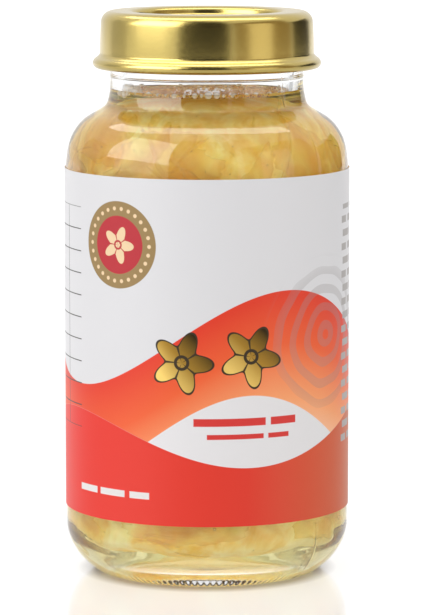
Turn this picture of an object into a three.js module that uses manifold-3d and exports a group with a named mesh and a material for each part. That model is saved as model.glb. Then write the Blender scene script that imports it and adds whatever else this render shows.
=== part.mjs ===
// A jar of stewed edible bird's nest in sugar syrup, closed with a twist-off tinplate lid.
// Millimetres, +Z up. The origin is the centre of the ring that the jar stands on.
// The front of the label faces -Y, and its overlap is at the back.

import * as THREE from "three";
import { mergeVertices } from "three/addons/utils/BufferGeometryUtils.js";
import Module from "manifold-3d";

const wasm = await Module();
wasm.setup();

// Driving dimensions of the glass
const bodyRadius = 25.87;
const wall = 2.2;
const heelHeight = 8.7;
const standRadius = 18.64;
const standWidth = 1.3;
const heelPower = 1.73;
const shoulderStart = 75;
const neckTop = 91;
const finishRadius = 17.6;
const rimTop = 101.4;
const mouthRadius = 15.4;
const pushUp = 1.8;
const floorThickness = 1.9;
const innerHeelRadius = 9;

// Driving dimensions of the lid
const sheet = 0.25;
const lidBottom = 92.4;
const lidTop = 102.8;
const skirtRadius = 19.5;
const cornerRadius = 2.1;
const crestInner = 14.4;
const panelRadius = 13.2;
const panelDepth = 1.6;
const curlRadius = 20.82;
const linerThickness = 0.85;

// Driving dimensions of the thread: four ridges on the glass, four lugs on the lid
const threadStarts = 4;
const threadRise = 1.6;
const threadTurn = 64;
const lugHalfSpan = 8;
const lugReach = 18;
const lugTop = 94.4;
const lugHeight = 1.3;
const ridgeRadius = 18.8;
const ridgeHeight = 1.4;
const ridgeLead = 10;
const ridgeSpan = 58;
const firstLug = 20;
const threadGap = 0.3;

// Driving dimensions of the label and of what is in the jar
const labelBottom = 12.3;
const labelTop = 74.4;
const labelThickness = 0.13;
const skinGap = 0.05;
const labelOverlap = 18;
const fillHeight = 87.8;
const fillGap = 0.3;
const pocketGap = 0.3;
const pocketReach = 2.5;
const massBottom = 5;
const massTop = 86;
const massRounding = 7;
const massInset = 4.6;
const massSeat = 12;

const roundSteps = 36;
const degree = Math.PI / 180;

const glassMaterial = new THREE.MeshStandardMaterial({
  color: "#e9ecee", roughness: 0.03, metalness: 0, transparent: true, opacity: 0.35,
});
const goldMaterial = new THREE.MeshStandardMaterial({ color: "#c9a84c", roughness: 0.3, metalness: 1 });
const linerMaterial = new THREE.MeshStandardMaterial({ color: "#e6e2d6", roughness: 0.6, metalness: 0 });
const labelMaterial = new THREE.MeshStandardMaterial({ color: "#e8603a", roughness: 0.45, metalness: 0 });
const syrupMaterial = new THREE.MeshStandardMaterial({
  color: "#d9a441", roughness: 0.05, metalness: 0, transparent: true, opacity: 0.5,
});
const nestMaterial = new THREE.MeshStandardMaterial({
  color: "#ecd9a0", roughness: 0.4, metalness: 0, transparent: true, opacity: 0.7,
});

// Turn a profile of [radius, height] points about +Z. The profile runs from the underside
// outwards and up, so that the faces point out.
function revolve(profile) {
  const points = profile.map(([radius, height]) => new THREE.Vector2(radius, height));
  const geometry = new THREE.LatheGeometry(points, roundSteps);
  geometry.rotateX(Math.PI / 2);
  return geometry;
}

// Points of an arc about [centreRadius, centreHeight], from one angle to another in degrees.
function arc(centreRadius, centreHeight, radius, from, to, steps) {
  return Array.from({ length: steps + 1 }, (_, i) => {
    const angle = (from + ((to - from) * i) / steps) * degree;
    return [centreRadius + radius * Math.cos(angle), centreHeight + radius * Math.sin(angle)];
  });
}

function closed(geometry) {
  const bare = geometry.clone();
  bare.deleteAttribute("normal");
  bare.deleteAttribute("uv");
  return mergeVertices(bare);
}

function toSolid(geometry) {
  const merged = closed(geometry);
  return new wasm.Manifold(new wasm.Mesh({
    numProp: 3,
    vertProperties: new Float32Array(merged.attributes.position.array),
    triVerts: new Uint32Array(merged.index.array),
  }));
}

function toGeometry(solid) {
  const mesh = solid.getMesh();
  const geometry = new THREE.BufferGeometry();
  geometry.setAttribute("position", new THREE.BufferAttribute(new Float32Array(mesh.vertProperties), 3));
  geometry.setIndex(new THREE.BufferAttribute(new Uint32Array(mesh.triVerts), 1));
  geometry.computeVertexNormals();
  return geometry;
}

// Bend a straight extrusion round the axis: its section is [radius, height], its length
// becomes the span in degrees, and it climbs by rise. The ends taper towards endRadius.
function bentBar(section, from, span, rise, steps, endRadius) {
  const shape = new THREE.Shape(section.map(([radius, height]) => new THREE.Vector2(radius, height)));
  const geometry = new THREE.ExtrudeGeometry(shape, { depth: 1, steps, bevelEnabled: false });
  const position = geometry.attributes.position;
  for (let i = 0; i < position.count; i += 1) {
    const along = 1 - position.getZ(i);
    const atEnd = along < 0.001 || along > 0.999;
    const radius = atEnd ? Math.min(position.getX(i), endRadius) : position.getX(i);
    const angle = (from + span * along) * degree;
    const height = position.getY(i) + rise * along;
    position.setXYZ(i, radius * Math.cos(angle), radius * Math.sin(angle), height);
  }
  return geometry;
}

// Outer shoulder: an S-curve from the neck out to the straight body.
const shoulderPoints = [
  [bodyRadius, shoulderStart], [25.6, 77.2], [25.1, 79.2], [24.1, 81.2], [22.6, 82.9],
  [20.9, 84.1], [19.4, 85], [18.4, 85.8], [17.9, 87.3], [17.65, 89.2],
];

// The inside follows the outside at the wall's thickness.
const innerShoulderPoints = [
  [mouthRadius, 87.5], [15.9, 85.3], [17.3, 83.5], [19.3, 82.2], [21.1, 80.8],
  [22.5, 79], [23.3, 77], [bodyRadius - wall, 74.5],
];

const innerFloor = pushUp + floorThickness;
const innerRadius = bodyRadius - wall;

// Heel: a superellipse from the straight body down to the standing ring.
function heelPoints(steps) {
  return Array.from({ length: steps + 1 }, (_, i) => {
    const angle = (Math.PI / 2) * (1 - i / steps);
    const out = Math.cos(angle) ** (2 / heelPower);
    const down = Math.sin(angle) ** (2 / heelPower);
    return [standRadius + (bodyRadius - standRadius) * out, heelHeight * (1 - down)];
  });
}

function makeGlassJar() {
  const standInner = standRadius - standWidth;
  const blank = revolve([
    [0, pushUp],
    [standInner - 4, pushUp * 0.8],
    [standInner - 0.8, 0.5],
    [standInner, 0],
    ...heelPoints(6),
    ...shoulderPoints,
    [finishRadius, neckTop],
    [finishRadius, rimTop - 0.6],
    [finishRadius - 0.6, rimTop],
    [mouthRadius + 0.5, rimTop],
    [mouthRadius, rimTop - 0.6],
    ...innerShoulderPoints,
    ...arc(innerRadius - innerHeelRadius, innerFloor + innerHeelRadius, innerHeelRadius, 0, -90, 4),
    [0, innerFloor + 0.6],
  ]);
  let glass = toSolid(blank);
  const root = finishRadius - 0.6;
  const underside = lugTop + threadGap;
  for (let i = 0; i < threadStarts; i += 1) {
    const start = firstLug - ridgeLead + (360 / threadStarts) * i;
    const startDrop = (threadRise / threadTurn) * ridgeLead;
    const section = [
      [root, underside - startDrop],
      [ridgeRadius, underside - startDrop + 0.1],
      [ridgeRadius, underside - startDrop + ridgeHeight - 0.4],
      [root, underside - startDrop + ridgeHeight + 0.3],
    ];
    const rise = (threadRise / threadTurn) * ridgeSpan;
    glass = glass.add(toSolid(bentBar(section, start, ridgeSpan, rise, 8, finishRadius + 0.1)));
  }
  return toGeometry(glass);
}

// Offset a centre line by half the sheet's thickness to each side and close it round the ends.
function sheetProfile(centreLine, thickness) {
  const offset = (side) => centreLine.map(([radius, height], i) => {
    const before = centreLine[Math.max(i - 1, 0)];
    const after = centreLine[Math.min(i + 1, centreLine.length - 1)];
    const along = new THREE.Vector2(after[0] - before[0], after[1] - before[1]).normalize();
    const shift = (side * thickness) / 2;
    const onAxis = radius === 0;
    return [onAxis ? 0 : radius - along.y * shift, height + along.x * shift];
  });
  const inside = offset(-1);
  const outside = offset(1).reverse();
  return [...inside, ...outside];
}

// The lid is one drawn sheet: sunk panel, raised crest, skirt, flare and rolled edge.
function makeLid() {
  const half = sheet / 2;
  const crest = lidTop - half;
  const panel = lidTop - panelDepth - half;
  const skirt = skirtRadius - half;
  const corner = cornerRadius - half;
  const curlHeight = 1.9;
  const curlCentre = lidBottom + curlHeight / 2;
  const centreLine = [
    [0, panel],
    [panelRadius - 0.4, panel],
    [panelRadius + 0.2, panel + 0.3],
    [crestInner - 0.5, crest - 0.3],
    [crestInner, crest],
    ...arc(skirt - corner, crest - corner, corner, 90, 0, 4),
    [skirt, curlCentre + 1.75],
    [skirt + 0.35, curlCentre + 1.15],
    [curlRadius - half - 0.25, curlCentre + 0.6],
    [curlRadius - half, curlCentre],
    [curlRadius - half - 0.3, curlCentre - 0.6],
    [skirt + 0.5, lidBottom + half],
    [skirt + 0.05, lidBottom + half + 0.12],
    [skirt - 0.12, curlCentre + 0.1],
  ];
  let lid = toSolid(revolve(sheetProfile(centreLine, sheet)));
  const slope = threadRise / threadTurn;
  const section = [
    [lugReach, lugTop - lugHeight],
    [skirt + 0.02, lugTop - lugHeight],
    [skirt + 0.02, lugTop],
    [lugReach, lugTop],
  ];
  for (let i = 0; i < threadStarts; i += 1) {
    const start = firstLug - lugHalfSpan + (360 / threadStarts) * i;
    const bar = bentBar(section, start, 2 * lugHalfSpan, slope * 2 * lugHalfSpan, 3, curlRadius);
    bar.translate(0, 0, -slope * lugHalfSpan);
    lid = lid.add(toSolid(bar));
  }
  return toGeometry(lid);
}

// The sealing ring lies under the crest and rests on the rim of the glass.
function makeLiner() {
  const low = rimTop + skinGap;
  const high = low + linerThickness;
  const inside = crestInner + 0.5;
  const outside = skirtRadius - sheet - 0.7;
  return revolve([
    [inside, low],
    [outside, low],
    [outside, low + linerThickness / 2],
    [outside - 0.6, high],
    [inside, high],
    [inside, low],
  ]);
}

// The label is one strip wound once round the body. Its end laps over its start at the back.
function makeLabel() {
  const stepAngle = 360 / roundSteps;
  const lapSteps = Math.round(labelOverlap / stepAngle);
  const first = 90 - stepAngle * Math.floor(lapSteps / 2);
  const inner = bodyRadius + skinGap;
  const lift = labelThickness + skinGap;
  const steps = roundSteps + lapSteps;
  const innerSide = [];
  const outerSide = [];
  for (let i = 0; i <= steps; i += 1) {
    const angle = (first + stepAngle * i) * degree;
    const lapped = THREE.MathUtils.clamp(i - (roundSteps - 1), 0, 1);
    const radius = inner + lift * lapped;
    innerSide.push(new THREE.Vector2(radius * Math.cos(angle), radius * Math.sin(angle)));
    const face = radius + labelThickness;
    outerSide.push(new THREE.Vector2(face * Math.cos(angle), face * Math.sin(angle)));
  }
  const outline = new THREE.Shape([...innerSide, ...outerSide.reverse()]);
  const geometry = new THREE.ExtrudeGeometry(outline, { depth: labelTop - labelBottom, bevelEnabled: false });
  geometry.translate(0, 0, labelBottom);
  return geometry;
}

// Radius of the syrup's side at a height: the inside of the glass less the gap.
const sidePoints = [
  ...arc(innerRadius - innerHeelRadius, innerFloor + innerHeelRadius, innerHeelRadius, -90, 0, 4),
  ...[...innerShoulderPoints].reverse(),
  [mouthRadius, rimTop],
];

function sideRadius(height) {
  const next = sidePoints.findIndex(([, z]) => z > height);
  const above = sidePoints[Math.max(next, 1)];
  const below = sidePoints[Math.max(next, 1) - 1];
  const share = THREE.MathUtils.clamp((height - below[1]) / (above[1] - below[1]), 0, 1);
  return THREE.MathUtils.lerp(below[0], above[0], share) - fillGap;
}

// A flake of nest: a flattened ragged sphere wrapped on the inside of the jar, with the middle
// of its outer face flush with the syrup's side. For its pocket, grow widens it on every side
// and reach carries it out through the syrup's side.
function flakeGeometry({ angle, height, length, width, thickness, tilt, rag }, grow, reach) {
  const geometry = closed(new THREE.SphereGeometry(1, 14, 4));
  const position = geometry.attributes.position;
  const along = new THREE.Vector2(Math.cos(tilt * degree), Math.sin(tilt * degree));
  for (let i = 0; i < position.count; i += 1) {
    const x = position.getX(i);
    const y = position.getZ(i);
    const side = position.getY(i);
    const round = Math.atan2(y, x);
    const ragged = 1 + 0.13 * Math.sin(3 * round + rag) + 0.07 * Math.sin(5 * round + 2 * rag);
    const s = x * ragged * (length / 2 + grow);
    const w = y * ragged * (width / 2 + grow);
    const half = thickness / 2 + grow + (side < 0 ? reach : 0);
    const depth = Math.sign(side) * Math.sqrt(Math.abs(side)) * half;
    const z = height + s * along.y + w * along.x;
    const radius = sideRadius(z) - thickness / 2 - depth;
    const turn = angle * degree + (s * along.x - w * along.y) / sideRadius(height);
    position.setXYZ(i, radius * Math.cos(turn), radius * Math.sin(turn), z);
  }
  geometry.computeVertexNormals();
  return geometry;
}

// Three rings of flakes, each turned on from the one below: at the floor, behind the label and
// at the shoulder.
const flakeRings = [
  { name: "low", height: 11.5, count: 5, first: 262, length: 24, width: 9.5 },
  { name: "middle", height: 43, count: 4, first: 300, length: 25, width: 17 },
  { name: "high", height: 75.5, count: 5, first: 248, length: 23, width: 10.5 },
];

const flakes = flakeRings.flatMap((ring) => Array.from({ length: ring.count }, (_, i) => ({
  name: `nest_flake_${ring.name}_${i + 1}`,
  angle: ring.first + (360 / ring.count) * i + 6 * Math.sin(2.4 * i),
  height: ring.height + 0.9 * Math.sin(1.9 * i + 1),
  length: ring.length * (0.9 + 0.1 * Math.sin(3.1 * i + 0.5)),
  width: ring.width * (0.92 + 0.08 * Math.sin(2.2 * i)),
  thickness: 2 + 0.4 * Math.sin(1.3 * i),
  tilt: 9 * Math.sin(2.7 * i + 0.8),
  rag: 1.7 * i + ring.height,
})));

// The loose mass of strands and shreds that fills the middle, down to the floor of the jar. Its
// radius is the syrup's less an inset, rounded off at both ends, with puffs between slanting
// creases. For its pocket, grow widens it on every side.
function massGeometry(grow) {
  const geometry = closed(new THREE.SphereGeometry(1, 36, 22));
  geometry.rotateX(Math.PI / 2);
  const position = geometry.attributes.position;
  const low = massBottom - grow;
  const high = massTop + grow;
  for (let i = 0; i < position.count; i += 1) {
    const z = THREE.MathUtils.lerp(low, high, (position.getZ(i) + 1) / 2);
    const turn = Math.atan2(position.getY(i), position.getX(i));
    const fromEnd = Math.min(Math.min(z - low, high - z) / massRounding, 1);
    const rounding = Math.sqrt(Math.max(1 - (1 - fromEnd) ** 2, 0));
    const warp = 0.5 * Math.sin(2 * turn + z / 9) + 0.4 * Math.sin(3 * turn - z / 6 + 1);
    const largePuff = 0.5 - Math.abs(Math.sin(2.5 * turn + z / 11 + warp));
    const smallPuff = 0.5 - Math.abs(Math.sin(4 * turn - z / 7 + 2 * warp + 2));
    const radius = (sideRadius(z) - massInset + 1.5 * largePuff + smallPuff + grow) * rounding;
    position.setXYZ(i, radius * Math.cos(turn), radius * Math.sin(turn), z);
  }
  geometry.computeVertexNormals();
  return geometry;
}

// The syrup fills the jar up to the neck, with a pocket round each flake that opens to the side
// and one round the mass that opens to the floor, where the mass rests.
function makeSyrup() {
  const floor = innerFloor + fillGap;
  const cornerSide = innerRadius - innerHeelRadius;
  const side = sidePoints.filter(([, height]) => height > innerFloor + 0.1 && height < fillHeight);
  let syrup = toSolid(revolve([
    [0, floor + 0.6],
    [cornerSide, floor],
    ...side.map(([radius, height]) => [radius - fillGap, height]),
    [mouthRadius - fillGap, fillHeight],
    [0, fillHeight],
  ]));
  for (const flake of flakes) {
    syrup = syrup.subtract(toSolid(flakeGeometry(flake, pocketGap, pocketReach)));
  }
  const seat = revolve([
    [0, innerFloor - 1],
    [massSeat, innerFloor - 1],
    [massSeat, massBottom + 2],
    [0, massBottom + 2],
  ]);
  syrup = syrup.subtract(toSolid(massGeometry(pocketGap))).subtract(toSolid(seat));
  return toGeometry(syrup);
}

const jarOfNest = new THREE.Group();
jarOfNest.name = "jar_of_edible_birds_nest";

function place(name, geometry, material) {
  const mesh = new THREE.Mesh(geometry, material);
  mesh.name = name;
  jarOfNest.add(mesh);
}

place("glass_jar", makeGlassJar(), glassMaterial);
place("lid", makeLid(), goldMaterial);
place("lid_liner", makeLiner(), linerMaterial);
place("label", makeLabel(), labelMaterial);
place("syrup", makeSyrup(), syrupMaterial);
place("nest_mass", massGeometry(0), nestMaterial);
for (const flake of flakes) {
  place(flake.name, flakeGeometry(flake, 0, 0), nestMaterial);
}

export default jarOfNest;
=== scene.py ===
import math

import bpy
import numpy as np
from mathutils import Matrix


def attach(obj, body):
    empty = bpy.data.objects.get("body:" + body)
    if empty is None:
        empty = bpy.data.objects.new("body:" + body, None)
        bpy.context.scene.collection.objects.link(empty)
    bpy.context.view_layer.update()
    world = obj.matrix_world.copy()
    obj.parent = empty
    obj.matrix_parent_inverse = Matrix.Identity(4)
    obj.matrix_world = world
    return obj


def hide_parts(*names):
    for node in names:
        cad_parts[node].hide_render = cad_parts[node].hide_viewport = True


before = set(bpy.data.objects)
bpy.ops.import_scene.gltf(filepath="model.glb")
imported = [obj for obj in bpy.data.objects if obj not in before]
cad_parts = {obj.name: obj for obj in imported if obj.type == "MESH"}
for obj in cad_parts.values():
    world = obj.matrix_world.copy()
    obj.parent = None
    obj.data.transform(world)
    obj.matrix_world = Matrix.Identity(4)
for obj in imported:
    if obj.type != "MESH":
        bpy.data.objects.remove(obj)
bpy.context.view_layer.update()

mm = 0.001
degree = math.pi / 180
turn = 2 * math.pi
scene = bpy.context.scene


# shapes: they are worked out in millimetres, and meshPiece makes the mesh in metres

def smoothLine(points, steps):
    # Catmull-Rom spline: between two points a cubic, whose slope at each point is half the
    # way from the point before to the point after
    p = np.array(points, float)
    padded = np.vstack([2 * p[0] - p[1], p, 2 * p[-1] - p[-2]])
    a, b, c, d = (padded[i:len(p) - 1 + i, None] for i in range(4))
    t = np.linspace(0, 1, steps, endpoint=False)[None, :, None]
    cubic = (2 * b + (c - a) * t + (2 * a - 5 * b + 4 * c - d) * t**2
             + (3 * b - a - 3 * c + d) * t**3)
    return np.vstack([0.5 * cubic.reshape(-1, p.shape[1]), p[-1:]])


def arcLine(centre, radius, start, end, steps):
    # a circular arc: the centre plus the radius times cosine and sine of evenly spaced angles
    angle = np.linspace(start, end, steps + 1) * degree
    return np.array(centre) + radius * np.stack([np.cos(angle), np.sin(angle)], axis=-1)


def straight(start, end, steps):
    # evenly spaced points from start up to, not including, end
    return np.linspace(start, end, steps, endpoint=False)


def onceRound(count):
    # evenly spaced angles, once round
    return np.linspace(0, turn, count, endpoint=False)


def aroundAxis(radius, angle, height):
    # points round +Z: x and y are the radius times cosine and sine of the angle
    spread = np.broadcast_arrays(radius * np.cos(angle), radius * np.sin(angle), height)
    return np.stack(spread, axis=-1)


def turned(profile, angle, out=0.0):
    # a profile of (radius, height) turned about +Z, with out added to the radius at each
    # (row, column)
    return aroundAxis(profile[:, :1] + out, angle, profile[:, 1:])


def ballPoints(centre, radius, rows, columns):
    # balls: centre plus radius times the unit direction of latitude and longitude
    over = np.linspace(math.pi, 0, rows)[None, :, None]
    unit = aroundAxis(np.sin(over), onceRound(columns)[None, None, :], np.cos(over))
    return centre[:, None, None, :] + radius[:, None, None, None] * unit


def closedSurfaces(name, points, material, loop=False, sharp=180):
    # points[piece, row, column] become one mesh of closed surfaces. Columns go round and join
    # up. Rows join up too (loop), or else the first and the last row are one point each
    points = points.reshape((-1,) + points.shape[-3:])
    count = len(points)
    body = points if loop else points[:, 1:-1]
    index = np.arange(body.size // 3).reshape(body.shape[:3])
    following = np.roll(index, -1, axis=2)
    low, lowNext = (index, following) if loop else (index[:, :-1], following[:, :-1])
    high, highNext = (np.roll(a, -1, axis=1) if loop else a[:, 1:] for a in (index, following))
    quads = np.stack([low, lowNext, highNext, high], axis=-1).reshape(-1, 4)
    vertices = body.reshape(-1, 3)
    fans = np.empty((0, 3), int)
    if not loop:
        poles = len(vertices) + np.arange(2 * count).reshape(count, 2, 1) + 0 * index[:, :1, :]
        first = np.stack([poles[:, 0], following[:, 0], index[:, 0]], axis=-1)
        last = np.stack([poles[:, 1], index[:, -1], following[:, -1]], axis=-1)
        fans = np.concatenate([first.reshape(-1, 3), last.reshape(-1, 3)])
        vertices = np.concatenate([vertices, points[:, [0, -1], 0].reshape(-1, 3)])
    return meshPiece(name, vertices, quads, fans, [material], sharp)


def meshPiece(name, vertices, quads, triangles, materials, sharp=180):
    # one smooth mesh from points in mm and faces of four and of three corners. Edges bent by
    # more than the sharp angle stay crisp
    corners = np.concatenate([quads.ravel(), triangles.ravel()])
    sizes = np.concatenate([np.full(len(quads), 4), np.full(len(triangles), 3)])
    mesh = bpy.data.meshes.new(name)
    mesh.vertices.add(len(vertices))
    mesh.vertices.foreach_set("co", (vertices * mm).ravel())
    mesh.loops.add(len(corners))
    mesh.loops.foreach_set("vertex_index", corners)
    mesh.polygons.add(len(sizes))
    mesh.polygons.foreach_set("loop_start", np.cumsum(sizes) - sizes)
    mesh.polygons.foreach_set("use_smooth", np.ones(len(sizes), bool))
    mesh.update(calc_edges=True)
    if sharp < 180:
        mesh.set_sharp_from_angle(angle=sharp * degree)
    for material in materials:
        mesh.materials.append(material)
    piece = bpy.data.objects.new(name, mesh)
    scene.collection.objects.link(piece)
    return piece


noTriangles = np.empty((0, 3), int)


# materials

def linear(code, alpha=1.0):
    # sRGB hex to linear light
    srgb = np.array([int(code[i:i + 2], 16) for i in (1, 3, 5)]) / 255
    light = np.where(srgb <= 0.04045, srgb / 12.92, ((srgb + 0.055) / 1.055) ** 2.4)
    return (*light.tolist(), alpha)


def add(tree, kind, feeds, out=0, **settings):
    # one node with its settings and links: feeds goes from an input to a number or a socket
    node = tree.nodes.new("ShaderNode" + kind)
    for key, value in settings.items():
        setattr(node, key, value)
    for key, value in feeds.items():
        if isinstance(value, bpy.types.NodeSocket):
            tree.links.new(value, node.inputs[key])
        else:
            node.inputs[key].default_value = value
    return node.outputs[out]


def setStops(ramp, stops):
    # the stops of a colour ramp: (position, sRGB hex or linear colour) in rising order
    elements = ramp.node.color_ramp.elements
    for _ in stops[2:]:
        elements.new(0.5)
    for element, (position, colour) in zip(elements, stops):
        element.position = position
        element.color = linear(colour) if isinstance(colour, str) else colour


def newMaterial(name, feeds):
    # feeds goes to the surface shader, as in add
    material = bpy.data.materials.new(name)
    material.use_nodes = True
    tree = material.node_tree
    shader = next(node for node in tree.nodes if node.type == "BSDF_PRINCIPLED")
    for key, value in feeds.items():
        shader.inputs[key].default_value = value
    return material, tree, shader


print("stage: studio")

studio = {
    "camera": {"distance": 675.0, "height": 138.5, "aim": 48.3, "sideways": 0.83,
               "lens": 217.0, "sensor": 36.0, "nearest": 10.0, "farthest": 20000.0},
    "white": "#ffffff",
    "worldStrength": 1.0,
    "floor": {
        "radius": 2600.0, "low": -3.0, "high": -0.02, "paint": "#a0a0a0",
        # brightness of the floor's glow by distance from the middle: full under the jar, then a painted
        # contact shadow as a dim ring along the jar's standing edge, then half glow beyond
        "glowAndPaintedShadowAt": [(0, 1.0), (15, 1.0), (17.5, 0.1), (20.5, 0.1), (24, 0.5)],
    },
    # azimuth from the front towards +X, elevation, distance, width, height, strength, and
    # whether it lights matt things or only shows in shiny ones
    "lamps": {
        "left soft box": (-62, 22, 900, 620, 620, 0.95, True),
        "right soft box": (60, 12, 900, 460, 560, 0.85, False),
        "top soft box": (-10, 74, 800, 520, 420, 0.9, True),
    },
    "lampAim": 50.0,
    # boards that only show in reflections, the last one as a window on the left of the
    # shoulder: paint, glow, azimuth, distance, width, lower and upper edge
    "cards": {
        "frontCard": ("#050505", 0, -3, 500, 520, 30, 1700),
        "rightCard": ("#a7926f", 0, 66, 1250, 1800, -20, 1250),
        "rightRearCard": ("#141414", 0, 124, 1300, 880, -20, 520),
        "leftCard": ("#cccccc", 0, -110, 1300, 700, -20, 700),
        "windowCard": ("#ffffff", 3.6, -59, 900, 1080, 255, 1250),
    },
    # half a ring light overhead, which draws the pale band round the shoulder
    "ringLight": {"radius": 675.0, "width": 290.0, "back": 616.0, "up": 980.0, "glow": 3.4,
                  "start": -195, "end": -20, "steps": 60},
}


def makeCamera():
    facts = studio["camera"]
    camera = bpy.data.cameras.new("camera")
    camera.sensor_fit = "AUTO"
    camera.sensor_width = facts["sensor"]
    camera.lens = facts["lens"]
    camera.clip_start = facts["nearest"] * mm
    camera.clip_end = facts["farthest"] * mm
    holder = bpy.data.objects.new("camera", camera)
    tilt = math.atan2(facts["height"] - facts["aim"], facts["distance"])
    holder.location = (facts["sideways"] * mm, -facts["distance"] * mm, facts["height"] * mm)
    holder.rotation_euler = (math.pi / 2 - tilt, 0, 0)
    scene.collection.objects.link(holder)
    scene.camera = holder


def makeWorld():
    world = bpy.data.worlds.new("white tent")
    world.use_nodes = True
    ground = next(node for node in world.node_tree.nodes if node.type == "BACKGROUND")
    ground.inputs["Color"].default_value = linear(studio["white"])
    ground.inputs["Strength"].default_value = studio["worldStrength"]
    scene.world = world


def makeFloor():
    # pale floor: a flat disc of opal acrylic under the jar, polished and glowing as if lit from below, with
    # a painted contact shadow in its glow round the jar's foot
    facts = studio["floor"]
    material, tree, shader = newMaterial("polished opal acrylic sheet", {
        "Base Color": linear(facts["paint"]), "Roughness": 0.1, "IOR": 1.49,
        "Specular IOR Level": 0.5, "Emission Strength": 1.0,
    })
    place = add(tree, "TexCoord", {}, out="Object")
    spot = add(tree, "VectorMath", {0: place}, out="Value", operation="LENGTH")
    reach = facts["glowAndPaintedShadowAt"][-1][0]
    # the glow's ramp paints the contact shadow: a dim ring where the jar's edge stands
    ramp = add(tree, "ValToRGB", {
        "Fac": add(tree, "MapRange", {"Value": spot, "From Max": reach * mm})})
    setStops(ramp, [(distance / reach, (glow, glow, glow, 1)) for distance, glow in facts["glowAndPaintedShadowAt"]])
    tree.links.new(ramp, shader.inputs["Emission Color"])
    radius, low, high = facts["radius"], facts["low"], facts["high"]
    profile = np.array([[0, low], [radius, low], [radius, high], [0, high]])
    floor = closedSurfaces("floor", turned(profile, onceRound(96)), material, sharp=30)


def makeLamps():
    for name, facts in studio["lamps"].items():
        azimuth, elevation, distance, width, height, strength, isForAll = facts
        lamp = bpy.data.lights.new(name, "AREA")
        lamp.shape = "RECTANGLE"
        lamp.size = width * mm
        lamp.size_y = height * mm
        lamp.energy = strength * math.pi * width * height * mm * mm
        around = (azimuth - 90) * degree
        up = elevation * degree
        holder = bpy.data.objects.new(name, lamp)
        place = distance * aroundAxis(math.cos(up), around, math.sin(up))
        holder.location = (place + np.array([0, 0, studio["lampAim"]])) * mm
        holder.rotation_euler = (math.pi / 2 - up, 0, around + math.pi / 2)
        holder.visible_diffuse = isForAll
        scene.collection.objects.link(holder)


def matBoard(name, paint, glow):
    # a dull board, which gives light of its own where its glow is over zero
    return newMaterial(name, {
        "Base Color": linear(paint), "Roughness": 0.9,
        "Emission Color": linear(paint), "Emission Strength": glow})[0]


def makeCards():
    # upright boards that face the jar's axis: the middle, half the width to each side
    cards = []
    for name, (paint, glow, azimuth, distance, width, low, high) in studio["cards"].items():
        around = (azimuth - 90) * degree
        middle = distance * aroundAxis(1.0, around, 0.0)
        side = 0.5 * width * aroundAxis(1.0, around + math.pi / 2, 0.0)
        up = np.array([0, 0, 1.0])
        corners = np.array([middle - side + low * up, middle + side + low * up,
                            middle + side + high * up, middle - side + high * up])
        material = matBoard("matt board " + name, paint, glow)
        cards.append(meshPiece(name, corners, np.array([[0, 1, 2, 3]]), noTriangles, [material]))
    return cards


def makeRingLight():
    # a flat part ring: the middle plus its inner or outer radius times cosine and sine
    facts = studio["ringLight"]
    angle = np.linspace(facts["start"], facts["end"], facts["steps"] + 1) * degree
    rims = facts["radius"] + facts["width"] / 2 * np.array([[-1], [1]])
    points = aroundAxis(rims, angle, facts["up"]) + np.array([0, facts["back"], 0])
    index = np.arange(2 * len(angle)).reshape(2, -1)
    quads = np.stack([index[0, :-1], index[0, 1:], index[1, 1:], index[1, :-1]], axis=-1)
    material = matBoard("ring light diffuser", studio["white"], facts["glow"])
    return meshPiece("ringLight", points.reshape(-1, 3), quads, noTriangles, [material])


makeCamera()
makeWorld()
makeFloor()
makeLamps()
for flag in makeCards() + [makeRingLight()]:
    flag.visible_camera = False
    flag.visible_diffuse = False
    flag.visible_transmission = False
    flag.visible_shadow = False
scene.view_settings.view_transform = "Standard"

# light has to find its way in and out of the jar: many bounces, and no blurring of the glass
# after a diffuse bounce, which would darken what is inside
scene.cycles.max_bounces = 48
scene.cycles.transmission_bounces = 48
scene.cycles.glossy_bounces = 16
scene.cycles.diffuse_bounces = 16
scene.cycles.blur_glossy = 0
scene.cycles.sample_clamp_indirect = 6


print("stage: glass jar")

jar = {
    "bodyRadius": 25.87,
    "wall": 2.2,
    "standRadius": 18.64,
    "standWidth": 1.3,
    "heelHeight": 8.7,
    "heelPower": 1.73,
    "pushUp": [(0, 1.8), (8, 1.78), (13.3, 1.44)],
    "shoulder": [(25.87, 73.8), (25.66, 76.6), (25.11, 79.2), (23.98, 81.4), (22.2, 83.3),
                 (19.6, 84.85), (18.42, 85.8), (17.92, 87.3), (17.66, 89.2), (17.6, 91.2)],
    "finishRadius": 17.6,
    "rimTop": 101.4,
    "mouthRadius": 15.4,
    "outerLip": 0.7,
    "innerLip": 0.6,
    "innerShoulder": [(15.4, 89.5), (15.55, 87.2), (15.95, 85.6), (17.3, 83.5), (19.3, 82.2),
                      (21.1, 80.8), (22.5, 79.0), (23.3, 77.0), (23.67, 74.5)],
    "floorTop": 3.7,
    "floorCrown": 0.6,
    "innerHeel": 9.0,
    "columns": 540,
    # uneven inside: depth, then for each wave its share, number round, mm up and phase
    "waviness": 0.11,
    "waves": [(1.0, 3, 9, 0), (0.8, 5, -6, 1), (0.6, 2, 4, 2)],
    "seam": {"angle": -40.2, "height": 0.045, "width": 0.32},
    "parting": {"at": 91.0, "height": 0.09, "width": 0.13},
    "knurl": {"count": 120, "depth": 0.22, "fromStand": 1.4, "width": 1.2, "top": 3.5},
    "thread": {"starts": 4, "radius": 18.9, "underside": 94.45, "height": 1.5, "first": 10.0,
               "span": 58.0, "lead": 0.025, "taper": 4.0},
}
jar["innerRadius"] = jar["bodyRadius"] - jar["wall"]

fill = {
    "level": 87.8,
    "meniscus": 0.7,
    "meniscusWidth": 0.8,
    "wetOverlap": 0.06,   # the liquid runs this far into the glass, so no film of air shows
}
fill["wallTop"] = fill["level"] + fill["meniscus"]


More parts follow.
